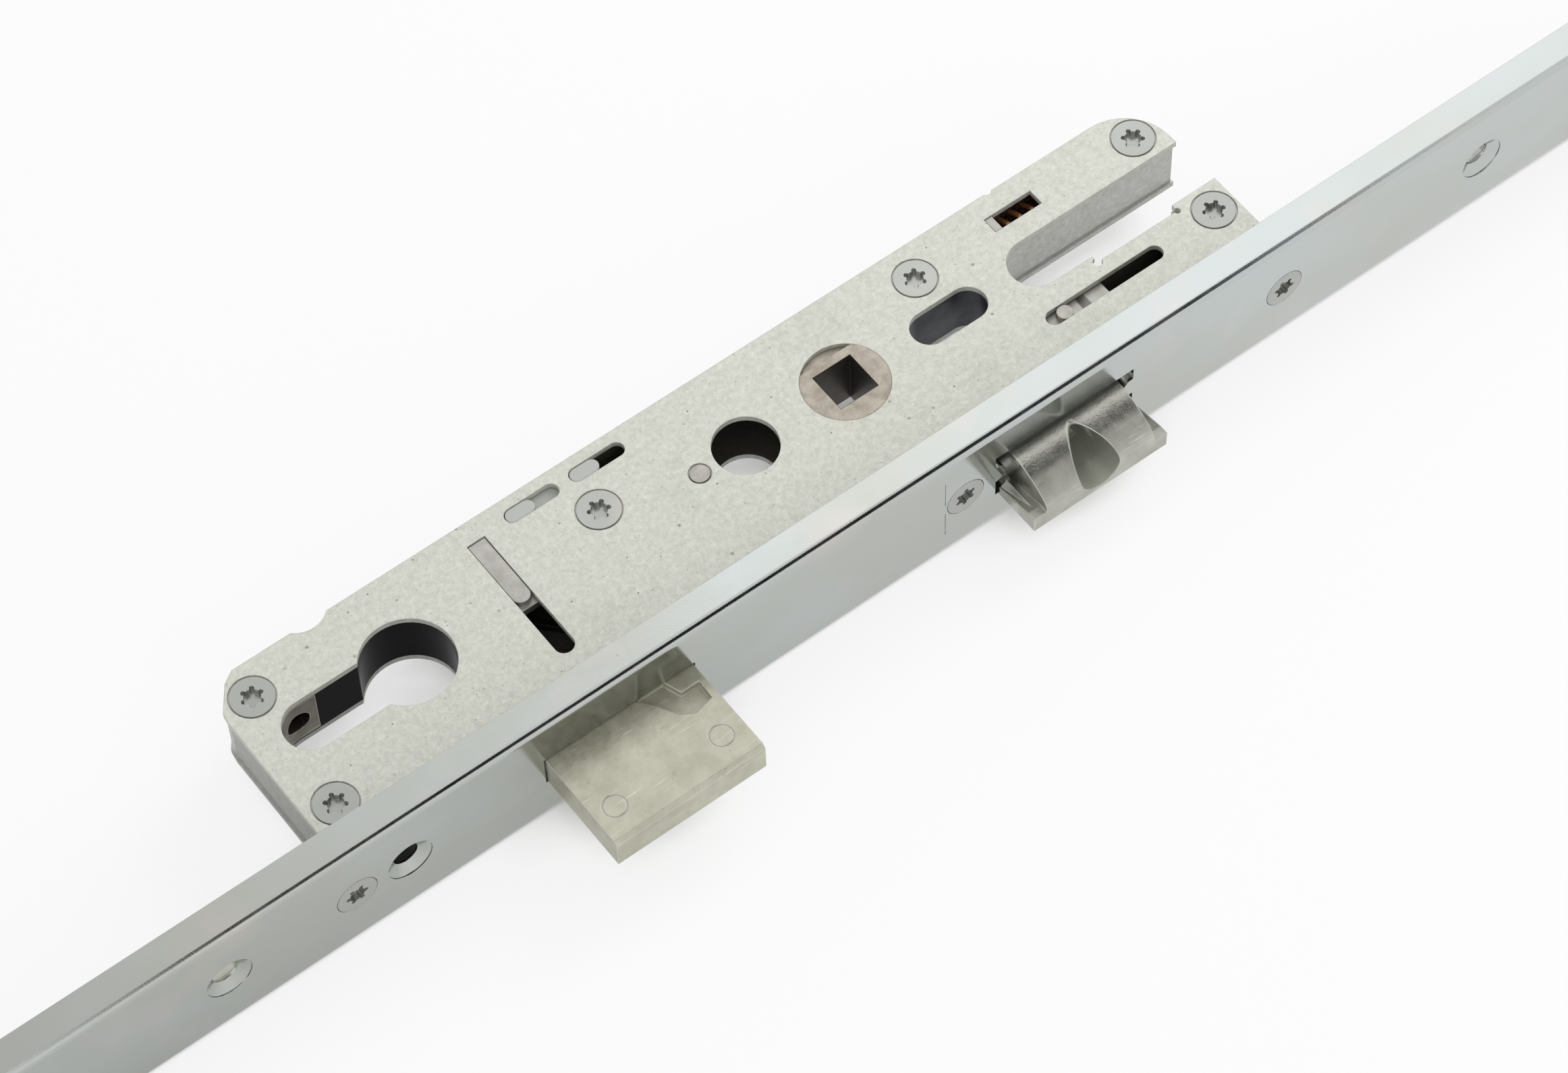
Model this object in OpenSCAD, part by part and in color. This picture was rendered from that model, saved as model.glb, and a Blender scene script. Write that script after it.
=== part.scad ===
// Multipoint door lock, centre section: lock case, face rail, latch, deadbolt, follower and drive slide.
// It lies as it would on a bench. X runs up the door, Y from the rail to the back of the case,
// Z from the far plate to the cover. The origin is the spindle's axis at half the case's thickness.

/* [Case] */
// Thickness of the closed case over both plates
case_t = 13; // [12.5:0.5:16]
// Sheet thickness of the tray and the cover
plate_t = 1.2; // [1:0.1:1.4]
// From the spindle's axis to the case's lower end
case_below = 122.3; // [122:1:150]
// From the spindle's axis to the case's upper end
case_above = 78; // [77:1:96]
// From the spindle's axis to the back of the case
case_back = 16.7; // [16.5:0.1:20]
// How far the folded walls stand inside the plates' edges
wall_inset = 0.4; // [0.2:0.1:0.6]
// Radius of the six threaded pillars between the plates
pillar_r = 2.6; // [2.5:0.1:2.8]

/* [Face rail] */
// From the rail's front face to the spindle's axis
backset = 28; // [28:1:35]
// Width of the rail across its front face
rail_w = 27; // [25:0.5:32]
// Depth of the rail's flanges
rail_depth = 6.5; // [5:0.5:10]
// Sheet thickness of the rail
rail_t = 2; // [1.5:0.25:2.5]
// Outer bend radius of the rail
rail_bend = 1.4; // [1:0.1:3]
// From the spindle's axis to the rail's lower cut end
rail_below = 205; // [190:5:900]
// From the spindle's axis to the rail's upper cut end
rail_above = 165; // [150:5:1200]
// Places of the countersunk fixing holes along the rail
fixing_below = -147.2; // [-160:0.1:-146]
fixing_above = 121.6; // [110:0.1:140]
// Radius of the fixing holes
fixing_r = 2.4; // [2:0.1:3]

/* [Key cylinder] */
// From the spindle's axis down to the key cylinder's axis
cylinder_drop = 92; // [92:1:96]
// Radius of the profile hole's round part
profile_r = 8.5; // [8.5:0.1:8.8]
// Radius of the profile hole's slot
profile_slot_r = 5; // [5:0.1:5.2]
// Overall height of the profile hole
profile_h = 33; // [33:0.5:34]

/* [Handle] */
// Side of the square spindle hole
spindle_sq = 8; // [7:0.5:9]
// Radius of the follower's journals in the plates
follower_r = 8; // [7.5:0.1:8.5]
// Radius of the round handle screw hole
handle_hole_r = 6; // [5:0.5:6]

/* [Motion] */
// Travel of the drive slide and its rods
slide_travel = 18; // [15:0.5:18]
// Throw of the deadbolt
bolt_out = 20; // [18:0.5:20]
// How far the latch stands out
latch_out = 10.2; // [9:0.1:10.2]
// Travel of the key slide
key_travel = 12.5; // [10:0.5:12.5]
// Travel of the nylon slider
nylon_travel = 5; // [3:0.5:5]
// Module of the gear sector and the rack
gear_module = 1; // [0.9:0.1:1]
// Teeth of the full gear that the sector is cut from
gear_teeth = 28; // [26:1:28]

/* [Bolts] */
// Lower end of the deadbolt
bolt_low = -84; // [-86:0.5:-83]
// Height of the deadbolt
bolt_h = 30.5; // [28:0.5:31]
// Lower end of the latch's ramp
latch_low = 14.2; // [14:0.1:15]
// Height of the latch's ramp
latch_h = 23.8; // [22:0.2:24]
// Height of the latch's base lip
latch_lip_h = 29.3; // [28:0.1:30]

/* [Springs] */
// Wire diameter of the return spring
return_wire = 1.1; // [0.9:0.1:1.2]
// Mean coil radius of the return spring
return_coil_r = 3.5; // [3:0.1:3.6]
// Curls of the return spring
return_curls = 8; // [6:1:9]
// Wire diameter of the latch spring
latch_wire = 0.7; // [0.6:0.05:0.8]
// Mean coil radius of the latch spring
latch_coil_r = 1.8; // [1.5:0.1:1.9]
// Curls of the latch spring
latch_curls = 9; // [5:1:10]

/* [Hidden] */
$fn = 48;
eps = 0.01;

// Running gaps: flat pieces to the plates, pieces to each other, pins and journals in their holes
plate_gap = 0.3;
layer_gap = 0.2;
pin_gap = 0.05;

// Layers inside the case, from the far plate to the cover
half_t = case_t / 2;
inner = half_t - plate_t;
layer_t = 1.5;
near_top = inner - plate_gap;
near_low = near_top - layer_t;
mid_top = near_low - layer_gap;
far_low = -near_top;
far_top = -near_low;
mid_low = -mid_top;

// Planes across the rail and the channel behind it
rail_back = -backset + rail_t;
rod_t = 2.5;
rod_front = rail_back + layer_gap;
rod_back = rod_front + rod_t;
case_front = rod_back + 0.1;
wall_front = case_front + wall_inset;
front_inside = wall_front + plate_t;
strip_front = front_inside + layer_gap;
back_inside = case_back - wall_inset - plate_t;

// Places of the case screws and the rail screws
case_screw_at = [[-case_below + 5.95, 10.3], [-case_below + 5.5, -15], [-49, 4.9], [22.9, 9.9],
    [case_above - 5.8, 10.2], [case_above - 4.55, -10.8]];
rail_screw_at = [-case_below + 0.2, 4.4, case_above - 2.4];
screw_head_r = 3.9;
screw_head_h = 2.4;
screw_r = 1.45;
lobe_r = 2.15;
rim_gap = 0.3;

// Openings of the case plates
notch_r = 5.15;
notch_x = case_above - 36.35;
notch_y = -0.35;
obround_r = 3.6;
obround_x0 = 18.45;
obround_x1 = 26.8;
lining_t = 1;
handle_hole_x = -21.5;
window = [40.3, 9, 10.4, 3.4];
pin_slot_x0 = 36.9;
pin_slot_x1 = 59.3;
pin_slot_y = -11.6;
pin_slot_r = 1.6;
nylon_y = 13;
nylon_slot_r = 1.5;
nylon_slots = [[-61.3, -53.3], [-47.8, -39.5]];
cross_x = -69.3;
cross_top = 12.5;
cross_low = -15;
cross_r = 1.85;

// Gear sector and rack
pitch_r = gear_module * gear_teeth / 2;
addendum = 0.95 * gear_module;
dedendum = 1.2 * gear_module;
turn = slide_travel / pitch_r * 180 / PI;
rack_root = -pitch_r - dedendum;

// Deadbolt, its pin and the cam slot in the drive slide
bolt_t = 2 * mid_top;
bolt_tip = -backset - bolt_out;
bolt_pin_r = 2;
bolt_pin_at = [bolt_low + 28.2, strip_front + 3.4];
bolt_gap = 0.3;

// Latch: ramp on a circle that ends at the tip, lip below it
latch_tip = -backset - latch_out;
latch_top = 4.5;
latch_lip_top = -1.7;
latch_bottom = 0.1 - inner;
latch_mid = latch_low + latch_h / 2;
latch_bore_r = 4.25;
ramp_r = 15.04;
ramp_flat = 1;
nose_r = 2.4;
ramp_c = [-backset + ramp_flat, latch_top - ramp_r];
nose_y = latch_tip + nose_r;
nose_dir = [nose_y - ramp_c[0], sqrt(pow(ramp_r - nose_r, 2) - pow(nose_y - ramp_c[0], 2))];
nose_z = ramp_c[1] + nose_dir[1];
latch_block = [latch_low + 0.8, 20];
latch_back = -backset + 12.9;
latch_seam = -backset + 7;
latch_spring_x = latch_low + 5;
pocket_r = latch_coil_r + latch_wire / 2 + 0.35;
pocket_depth = 9.7;

// Lobes of the follower: involutes of a base circle, so that a flat foot moves evenly with the turn
lobe_base = latch_out / turn * 180 / PI;
core_r = lobe_base - 0.5;
foot_w = 4.7;

// Draw bar and return spring
spring_y = 10.8;
spring_stop_x = window[0];
spring_stop_t = 1.5;
spring_head_x = case_above - 12;
rod_half = 1.2;

// Key slide and locking lever
lever_pivot = [-31.1, 0.25];
lever_pin_r = 1.8;
lever_tip = [-59.5, -3];
lever_w = 3.2;

function arc(c, r, a0, a1, n) = [for (i = [0:n]) let (a = a0 + (a1 - a0) * i / n)
    [c[0] + r * cos(a), c[1] + r * sin(a)]];
function involute(r, deg) = let (t = deg * PI / 180)
    [r * (cos(deg) + t * sin(deg)), r * (t * cos(deg) - sin(deg))];

// A flat band with round ends between two points. Its sides stand 0.002 mm in from the tangents,
// so that lines and arcs meet at clear corners.
module band(p, q, r) {
    d = q - p;
    translate(p) circle(r);
    translate(q) circle(r);
    translate(p) rotate(atan2(d[1], d[0])) translate([0, 0.002 - r])
        square([norm(d), 2 * r - 0.004]);
}

module slab(z0, z1) translate([0, 0, z0]) linear_extrude(z1 - z0) children();

// Turned pieces whose axis runs along Y, from y0 to y1
module along_y(x, y0, y1, r, z = 0) translate([x, y0, z]) rotate([-90, 0, 0]) cylinder(h = y1 - y0, r = r);

// Outline of the case, drawn in by d on every side
module case_outline(d = 0) {
    corner = arc([case_above - 10.3, case_back - 10], 10 - d, 90, 0, 8);
    difference() {
        polygon(concat([[-case_below + d, case_front + d], [-case_below + d, 8.5],
            [-case_below + 0.3 + 0.9 * d, 10.6 - 0.4 * d],
            [-case_below + 3.7 + 0.6 * d, case_back - 1.5 - 0.8 * d],
            [-case_below + 6.1 + 0.3 * d, case_back - d]], corner,
            [[case_above - 0.3 - d, notch_y + notch_r], [case_above - d, notch_y - notch_r],
            [case_above - d, case_front + d]]));
        notch_outline(d);
        translate([-100.7, case_back + 3.6]) circle(5.1 + d);
        translate([44.4, case_back + 0.4]) circle(0.9 + d);
    }
}

// The open notch at the upper end, grown by d
module notch_outline(d = 0) {
    translate([notch_x, notch_y]) circle(notch_r + d);
    translate([notch_x, notch_y - notch_r - d]) square([60, 2 * (notch_r + d)]);
    translate([notch_x + 8.6 - d, notch_y - notch_r - 1.5 - d]) square([18, 4 + d]);
    // Reliefs at the plates' two corners, which the folded walls don't follow
    if (d == 0) translate([notch_x + 8.6, notch_y - notch_r - 1.5]) circle(0.9);
    if (d == 0) translate([notch_x + 26.6, notch_y - notch_r - 1.5]) circle(0.6);
}

module profile_hole(grow = 0) {
    translate([-cylinder_drop, 0]) circle(profile_r + grow);
    band([-cylinder_drop, 0], [-cylinder_drop - profile_h + profile_r + profile_slot_r, 0],
        profile_slot_r + grow);
}

module obround_hole(grow = 0) band([obround_x0, 0], [obround_x1, 0], obround_r + grow);

module shared_holes() {
    profile_hole();
    obround_hole();
    circle(follower_r + pin_gap);
    translate([handle_hole_x, 0]) circle(handle_hole_r);
}

// Countersunk head with its flat top at z = 0, grown by d
module countersunk(head_r, head_h, shank_r, length, d = 0) rotate_extrude()
    polygon([[0, eps], [head_r + d, eps], [head_r + d, -0.3], [shank_r + d, -head_h], [shank_r + d, -length],
        [0, -length]]);

module six_lobe(depth) translate([0, 0, -depth]) linear_extrude(depth + 1) {
    circle(lobe_r * 0.7);
    for (a = [0:60:300]) rotate(a) translate([lobe_r * 0.8, 0]) circle(lobe_r * 0.2);
}

module screw(length) difference() {
    countersunk(screw_head_r, screw_head_h, screw_r, length);
    six_lobe(1.3);
}

module face_rail() color("lightsteelblue") difference() {
    rotate([90, 0, 90]) translate([0, 0, -rail_below]) linear_extrude(rail_below + rail_above) rail_section();
    for (x = [fixing_below, fixing_above, -cylinder_drop - profile_h + profile_r + profile_slot_r])
        rail_hole(x) countersunk(4.4, 1.5, fixing_r, 9);
    for (x = rail_screw_at) rail_hole(x) countersunk(screw_head_r + 0.1, screw_head_h, screw_r + pin_gap, 9);
    translate([bolt_low - bolt_gap, -backset - 1, -bolt_t / 2 - bolt_gap])
        cube([bolt_h + 2 * bolt_gap, rail_t + 2, bolt_t + 2 * bolt_gap]);
    latch_aperture();
    for (z = [1.3, -7.8]) translate([-0.1, -backset - 1, z]) cube([0.2, 1.15, 6.5]);
}

module rail_section() difference() {
    translate([-backset, -rail_w / 2]) difference() {
        square([rail_depth, rail_w]);
        for (s = [0, 1]) translate([0, s * rail_w]) mirror([0, s]) difference() {
            translate([-eps, -eps]) square(rail_bend + eps);
            translate([rail_bend, rail_bend]) circle(rail_bend);
        }
    }
    translate([rail_back, -rail_w / 2 + rail_t]) square([rail_depth, rail_w - 2 * rail_t]);
}

module rail_hole(x) translate([x, -backset, 0]) rotate([90, 0, 0]) children();

// Latch aperture: a round-nosed tab at the middle of each end, between two square notches
module latch_aperture() translate([latch_mid, -backset - 1, 0]) rotate([-90, 0, 0])
    linear_extrude(rail_t + 2) difference() {
        square([latch_lip_h + 1, 11.2], center = true);
        for (s = [-1, 1]) scale([s, 1]) {
            translate([latch_lip_h / 2 + 0.4, -2.6]) square([4, 4.2]);
            translate([latch_lip_h / 2 + 0.4, -0.5]) circle(2.1);
        }
    }

module case_cover() color("gainsboro") difference() {
    slab(inner, half_t) difference() {
        case_outline();
        shared_holes();
        translate([window[0] - 0.15, window[1]]) square([window[2], window[3]]);
        band([pin_slot_x0, pin_slot_y], [pin_slot_x1, pin_slot_y], pin_slot_r);
        for (s = nylon_slots) band([s[0], nylon_y], [s[1], nylon_y], nylon_slot_r);
        band([cross_x, cross_low + cross_r], [cross_x, 0], cross_r);
        translate([cross_x - cross_r, 0]) square([2 * cross_r, cross_top]);
        translate(lever_pivot) circle(lever_pin_r + pin_gap);
    }
    for (p = case_screw_at) translate([p[0], p[1], half_t]) {
        countersunk(screw_head_r, screw_head_h, screw_r, case_t, 0.1);
        rim(screw_head_r);
    }
    translate([lever_pivot[0], lever_pivot[1], half_t]) rim(lever_pin_r);
}

// Shallow step that leaves an open ring round a head or a pin
module rim(r) translate([0, 0, -0.4]) cylinder(h = 1, r = r + rim_gap);

module case_tray() color("silver") {
    difference() {
        slab(-half_t, -inner) difference() {
            case_outline();
            shared_holes();
            translate(lever_pivot) circle(lever_pin_r + pin_gap);
        }
        for (p = case_screw_at) translate([p[0], p[1], -half_t - eps]) cylinder(h = case_t, r = pillar_r - 1);
    }
    difference() {
        slab(-inner, inner) difference() {
            case_outline(wall_inset);
            case_outline(wall_inset + plate_t);
        }
        front_window(bolt_low - 0.6, bolt_h + 2.2);
        front_window(latch_low - 5.8, notch_x + 31.6 - latch_low);
        front_window(-108, 23.6);
        front_window(rail_screw_at[1] - 4.2, 8.4);
        front_window(rail_screw_at[2] - 4.2, 8.4);
        front_window(rail_screw_at[0] - 4.2, 8.4);
        translate([case_above - 4, case_front - 1, -3]) cube([4, 6.4, 6]);
        translate([-case_below - 1, case_front - 1, -inner]) cube([4, 6.4, 2 * inner]);
        along_y(-cylinder_drop - 19.5, case_front - 1, front_inside + 1, 3);
    }
}

module front_window(x, w) translate([x, case_front - 1, -inner]) cube([w, plate_t + 2, 2 * inner + 1]);

module case_pillars() color("slategray") for (p = case_screw_at) translate([p[0], p[1], 0]) difference() {
    union() {
        translate([0, 0, -inner]) cylinder(h = 2 * inner, r = pillar_r);
        translate([0, 0, -half_t]) cylinder(h = plate_t + 1, r = pillar_r - 1);
    }
    translate([0, 0, half_t]) countersunk(screw_head_r, screw_head_h, screw_r, case_t - 1.5, 0.05);
}

module case_screws() color("whitesmoke") for (i = [0:5])
    translate([case_screw_at[i][0], case_screw_at[i][1], half_t]) rotate(20 * i) screw(9);

module rail_screws() color("whitesmoke") for (i = [0:2])
    rail_hole(rail_screw_at[i]) rotate(25 * i) screw(9.2);

// Tapped lugs that the rail screws pull against: a sleeve through the rod's slot and a block in the case
module rail_lugs() color("dimgray") {
    rail_lug(rail_screw_at[0], -3.9, 7.8, -near_top, near_top);
    rail_lug(rail_screw_at[1], -4, 8, mid_low, near_top);
    rail_lug(rail_screw_at[2], -4, 4.6, -near_top, near_top);
}

module rail_lug(x, dx, w, z0, z1) difference() {
    union() {
        along_y(x, rail_back, case_front + 1, 2.9);
        translate([x + dx, case_front, z0]) cube([w, 4.6, z1 - z0]);
    }
    rail_hole(x) countersunk(screw_head_r + 0.1, screw_head_h, screw_r + pin_gap, 12);
}

// Black sheet lining of the profile hole, open where the key's cam swings towards the key slide
module keyhole_lining() color("#1b1d20") difference() {
    slab(-inner, inner) difference() {
        profile_hole(lining_t);
        profile_hole();
        translate([-cylinder_drop - 30, -20]) square([14.6, 40]);
    }
    translate([-cylinder_drop, -20, -4]) cube([8, 20, 8]);
}

// Block round the slot's end with the sleeve of the cylinder's fixing screw
module cylinder_screw_boss() color("gray") {
    x = -cylinder_drop - profile_h + profile_r + profile_slot_r;
    difference() {
        slab(-near_top, near_top) translate([x - 6.7, -7]) square([10.7, 14]);
        slab(-inner - 1, inner + 1) profile_hole();
        along_y(x, front_inside - 1, 9, fixing_r);
    }
}

module fixing_slot_lining() color("#3a3d40") slab(-inner, inner) difference() {
    obround_hole(lining_t);
    obround_hole();
}

// The follower: journals in both plates, a gear sector, two lobes and the square hole
module spindle_follower() color("rosybrown") difference() {
    union() {
        slab(-half_t, half_t) circle(follower_r);
        slab(far_low, far_top) sector();
        slab(-0.9, 0.9) circle(follower_r + 0.9);
    }
    difference() {
        slab(mid_low - layer_gap, mid_top + layer_gap) circle(follower_r + 2);
        slab(-0.9, 0.9) circle(follower_r + 3);
        slab(mid_low - 1, mid_top + 1) circle(core_r);
        slab(1, mid_top) lobe();
        slab(mid_low, -1) rotate(90) lobe();
    }
    slab(-half_t - 1, half_t + 1) square(spindle_sq + 0.1, center = true);
    translate([-follower_r, 5.8, half_t - 1]) cube([2 * follower_r, 5, 2]);
}

module lobe() polygon(concat([[0, 0]], [for (i = [0:12]) involute(lobe_base - pin_gap, i * turn / 12)],
    [[core_r * cos(-75), core_r * sin(-75)]]));

tooth_a = 360 / gear_teeth;
sector_teeth = round(turn / tooth_a) + 1;

// Teeth with straight flanks at 20 degrees, thinned for backlash
module tooth() translate([-pitch_r, 0]) rotate(90) tooth_profile();

module tooth_profile() polygon([[-1.1, -dedendum], [1.1, -dedendum], [0.72, 0], [0.36, addendum],
    [-0.36, addendum], [-0.72, 0]]);

module sector() {
    intersection() {
        circle(pitch_r - dedendum + 0.1);
        polygon([[0, 0], for (i = [0:8]) let (a = -84 - i * (turn + 15) / 8) 20 * [cos(a), sin(a)]]);
    }
    for (i = [0:sector_teeth - 1]) rotate(90 - i * tooth_a) tooth();
}

// The drive slide: rack strip, cam slot for the deadbolt's pin and the arms that reach the rods
module drive_slide() color("tan") slab(far_low, far_top) difference() {
    union() {
        translate([-107.5, strip_front]) square([99.5, 3.8]);
        translate([-60, strip_front]) square([52, rack_root - strip_front]);
        translate([-24, -backset + latch_out + 0.2]) square([60.2, rack_root + backset - latch_out - 0.2]);
        translate([notch_x - 5.6, -backset + latch_out + 0.2])
            square([12.5, pin_slot_y + 2.7 + backset - latch_out - 0.2]);
        translate([notch_x - 0.1, rod_front + 0.3]) square([7, 12]);
        translate([-107.5, rod_front + 0.3]) square([4, 6]);
        band(bolt_pin_at, bolt_pin_at + [-slide_travel, bolt_out], bolt_pin_r + 1.3);
        for (i = [-7:0]) translate([(i + 0.5) * PI * gear_module, -pitch_r]) tooth_profile();
    }
    band(bolt_pin_at, bolt_pin_at + [-slide_travel, bolt_out], bolt_pin_r + pin_gap);
    translate([pin_slot_x0 + 2.3, pin_slot_y]) circle(1.5);
}

// Grooved block on the slide's upper end, seen through the long slot
module slide_block() color("silver") difference() {
    translate([notch_x - 5.6, pin_slot_y - 3.1, far_top]) cube([12.5, 5.8, near_top - far_top]);
    translate([pin_slot_x0 + 2.3, pin_slot_y, -9]) cylinder(h = 18, r = 1.5);
    translate([notch_x + 2, 0, near_top]) rotate([0, 45, 0]) cube([1.4, 40, 1.4], center = true);
}

module slide_pin() color("rosybrown") translate([pin_slot_x0 + 2.3, pin_slot_y, far_low])
    cylinder(h = half_t - 0.3 - far_low, r = 1.5);

module drive_rod(x0, x1, slots, tenon_x) color("darkkhaki") difference() {
    translate([x0, rod_front, -8]) cube([x1 - x0, rod_t, 16]);
    for (s = slots) translate([0, rod_front - 1, 0]) rotate([-90, 0, 0]) linear_extrude(rod_t + 2)
        band([s[0], 0], [s[1], 0], s[2]);
    translate([tenon_x, rod_front - 1, far_low]) cube([7, rod_t + 2, layer_t]);
}

module upper_drive_rod() drive_rod(notch_x + 0.3, rail_above,
    [[rail_screw_at[2] - slide_travel, rail_screw_at[2], 3.2],
    [fixing_above - slide_travel, fixing_above, 2.7]], notch_x - 0.1);

module lower_drive_rod() drive_rod(-rail_below, -103.2,
    [[fixing_below - slide_travel, fixing_below, 2.7],
    [rail_screw_at[0] - slide_travel, -111.5, 3.2]], -107.5);

module deadbolt() color("darkkhaki") difference() {
    union() {
        translate([bolt_low, bolt_tip, -bolt_t / 2]) cube([bolt_h, bolt_out + 2, bolt_t]);
        translate([bolt_low + 8.5, bolt_tip + bolt_out + 1, -bolt_t / 2]) cube([bolt_h - 8.5, 13, bolt_t]);
        translate([bolt_low + 8.5, rail_back + 0.3, -bolt_t / 2]) cube([bolt_h - 7.4, 11.7, bolt_t]);
    }
    translate([bolt_low, bolt_tip, bolt_t / 2]) rotate([45, 0, 0])
        cube([2 * bolt_h + 4, 1.1, 1.1], center = true);
    translate([bolt_pin_at[0], bolt_pin_at[1], -bolt_t]) cylinder(h = bolt_t, r = bolt_pin_r);
    slab(bolt_t / 2 - 1.3, bolt_t) bolt_pocket();
    for (x = [4.1, 26]) translate([bolt_low + x, bolt_tip + 6.1, bolt_t / 2 - 0.15]) difference() {
        cylinder(h = 1, r = 2.2);
        translate([0, 0, -1]) cylinder(h = 3, r = 2);
    }
}

// The cast pocket on the bolt's near face, beside the rail
module bolt_pocket() translate([bolt_low, -backset]) polygon([[18.1, 0.5], [20.4, -2.3], [22.8, -6.3],
    [25.1, -7.8], [29.1, -7], [29.3, -3.2], [25.6, -3.2], [24.3, 0.4]]);

module deadbolt_pin() color("dimgray") translate([bolt_pin_at[0], bolt_pin_at[1], far_low])
    cylinder(h = -far_low, r = bolt_pin_r);

// The latch's head: ramp, base lip and the bore for its screw
module latch_bolt() color("lightgray") difference() {
    union() {
        translate([latch_low, 0, 0]) rotate([90, 0, 90]) linear_extrude(latch_h) latch_profile();
        translate([latch_mid - latch_lip_h / 2, 0, 0]) rotate([90, 0, 90]) linear_extrude(latch_lip_h)
            latch_lip_profile();
        for (s = [-1, 1]) latch_ridge(latch_mid + s * (latch_h + latch_lip_h) / 4);
        translate([latch_block[0], -backset - 1, mid_low])
            cube([latch_block[1], latch_seam + backset + 1, 2 * mid_top]);
    }
    along_y(latch_mid, latch_tip - 1, latch_seam - 1.5, latch_bore_r);
    along_y(latch_mid, latch_tip - 1, latch_seam + 1, 1.5);
    along_y(latch_spring_x, latch_back - pocket_depth, latch_seam + 1, pocket_r);
}

module latch_profile() intersection() {
    translate([latch_tip, latch_bottom]) square([latch_seam - latch_tip, latch_top - latch_bottom]);
    union() {
        translate(ramp_c) circle(ramp_r, $fn = 120);
        translate([-backset + ramp_flat, mid_low]) square([20, latch_top - mid_low]);
    }
    union() {
        translate([nose_y, nose_z]) circle(nose_r - 0.003, $fn = 60);
        translate([latch_tip, latch_bottom]) square([latch_out, nose_z - latch_bottom]);
        polygon([[nose_y, nose_z], [nose_y, nose_z] + nose_dir, [-backset, 12], [-backset, latch_bottom]]);
        translate([-backset - 0.5, mid_low]) square([20, latch_top - mid_low]);
    }
}

// Lip with a shelf at the tip that slopes down to the rail, so that the rail's tabs clear it
module latch_lip_profile() polygon([[latch_tip, latch_bottom], [latch_tip, latch_lip_top],
    [latch_tip + 1.8, latch_lip_top], [-backset - 0.4, latch_lip_top - 1.5], [-backset - 0.4, latch_bottom]]);

module latch_ridge(x) translate([x, -backset - 0.4, 0]) rotate([90, 0, 0]) linear_extrude(latch_out - 1.4)
    polygon([[-1.2, latch_lip_top - 1.6], [0, latch_lip_top - 0.1], [1.2, latch_lip_top - 1.6]]);

module latch_screw() color("lightsteelblue") translate([latch_mid, latch_seam - 2.9, 0]) rotate([90, 0, 0])
    difference() {
        union() {
            translate([0, 0, -1.4]) cylinder(h = 1.4, r = 3.15);
            translate([0, 0, -7]) cylinder(h = 6, r = 1.45);
        }
        six_lobe(1);
    }

// Carriage behind the head, with the arm and foot that the follower's lobe pushes
module latch_carriage() color("silver") difference() {
    union() {
        translate([latch_block[0], latch_seam, mid_low])
            cube([latch_block[1], latch_back - latch_seam, 2 * mid_top]);
        translate([8.8, latch_seam + 1, near_low - layer_gap])
            cube([latch_block[0] + latch_block[1] - 8.8, latch_back - latch_seam - 1, layer_t + layer_gap]);
        translate([8.8, latch_seam + 1, near_low]) cube([foot_w, 2.6 - latch_seam - 1, layer_t]);
        translate([lobe_base - 0.3, 0.1, 1]) cube([foot_w + 9.1 - lobe_base, 2.5, mid_top - 1]);
        translate([8.8, 0.1, mid_top - eps]) cube([foot_w, 2.5, layer_gap + 2 * eps]);
    }
    along_y(latch_mid, latch_seam - 1, latch_back + 1, 1.45);
    along_y(latch_spring_x, latch_seam - 1, latch_back + 1, pocket_r);
}

// One unbroken wire: straight end, curls along Z, straight end. Rings of six points, triangle faces.
function coil_path(r, wire, length, curls) = let (n = curls * 8, z0 = wire, z1 = length - wire)
    concat([[r, 0, 0]], [for (i = [0:n]) [r * cos(i * 45), r * sin(i * 45), z0 + (z1 - z0) * i / n]],
    [[r * cos(n * 45), r * sin(n * 45), length]]);

function ring_at(path, i, r, wire) = let (last = len(path) - 1, p = path[i],
    straight = i == 0 || i == last, radial = [p[0], p[1], 0] / norm([p[0], p[1]]),
    a = atan2(p[1], p[0]), up = straight ? [-sin(a), cos(a), 0] : [0, 0, -1])
    [for (k = [0:5]) p + wire / 2 * (cos(60 * k) * radial + sin(60 * k) * up)];

module coil(r, wire, length, curls) {
    path = coil_path(r, wire, length, curls);
    n = len(path);
    points = [for (i = [0:n - 1]) each ring_at(path, i, r, wire)];
    sides = [for (i = [0:n - 2], k = [0:5]) let (a = i * 6 + k, b = i * 6 + (k + 1) % 6)
        each [[a, b + 6, b], [a, a + 6, b + 6]]];
    caps = [for (k = [1:4]) each [[0, k, k + 1], [(n - 1) * 6, (n - 1) * 6 + k + 1, (n - 1) * 6 + k]]];
    next_curl = [for (i = [0:n - 7], j = [i + 6:min(i + 10, n - 1)]) norm(path[j] - path[i])];
    echo(least_gap = min(next_curl) - wire);
    polyhedron(points, concat(sides, caps));
}

module latch_spring() color("gray") translate([latch_spring_x, latch_back - pocket_depth + 0.1, 0])
    rotate([-90, 0, 0]) coil(latch_coil_r, latch_wire, pocket_depth - latch_back - obround_r - lining_t - 0.2,
        latch_curls);

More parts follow.
